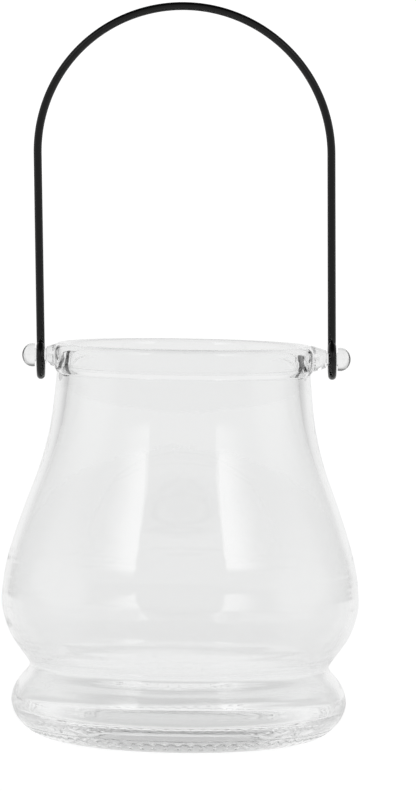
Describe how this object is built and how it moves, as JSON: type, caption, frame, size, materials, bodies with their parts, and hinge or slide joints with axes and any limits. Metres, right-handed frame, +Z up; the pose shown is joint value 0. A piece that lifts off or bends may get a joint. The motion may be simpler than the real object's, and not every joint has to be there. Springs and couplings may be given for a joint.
{
  "type": "hanging glass jar lantern",
  "caption": "Pear-shaped clear glass jar for a candle, with a waisted foot, a collared mouth and glass lugs that carry a swinging black wire bail handle.",
  "frame": {"origin": "centre of the base, on the surface the jar stands on", "axes": "+Z up along the jar's axis, X through the two handle lugs, Y across the handle"},
  "size_m": [0.087, 0.087, 0.1793],
  "materials": {
    "clear_glass": "clear, smooth and glossy, slightly grey where thick",
    "black_wire": "satin black enamel on round steel wire"
  },
  "bodies": {
    "jar": {"glass_jar": "clear_glass"},
    "bail": {"wire_bail_handle": "black_wire"}
  },
  "joints": [
    {"name": "bail_swing", "type": "hinge", "parent": "jar", "child": "bail", "pos_m": [0, 0, 0.0932], "axis": [1, 0, 0], "range_deg": [-150, 150]}
  ]
}
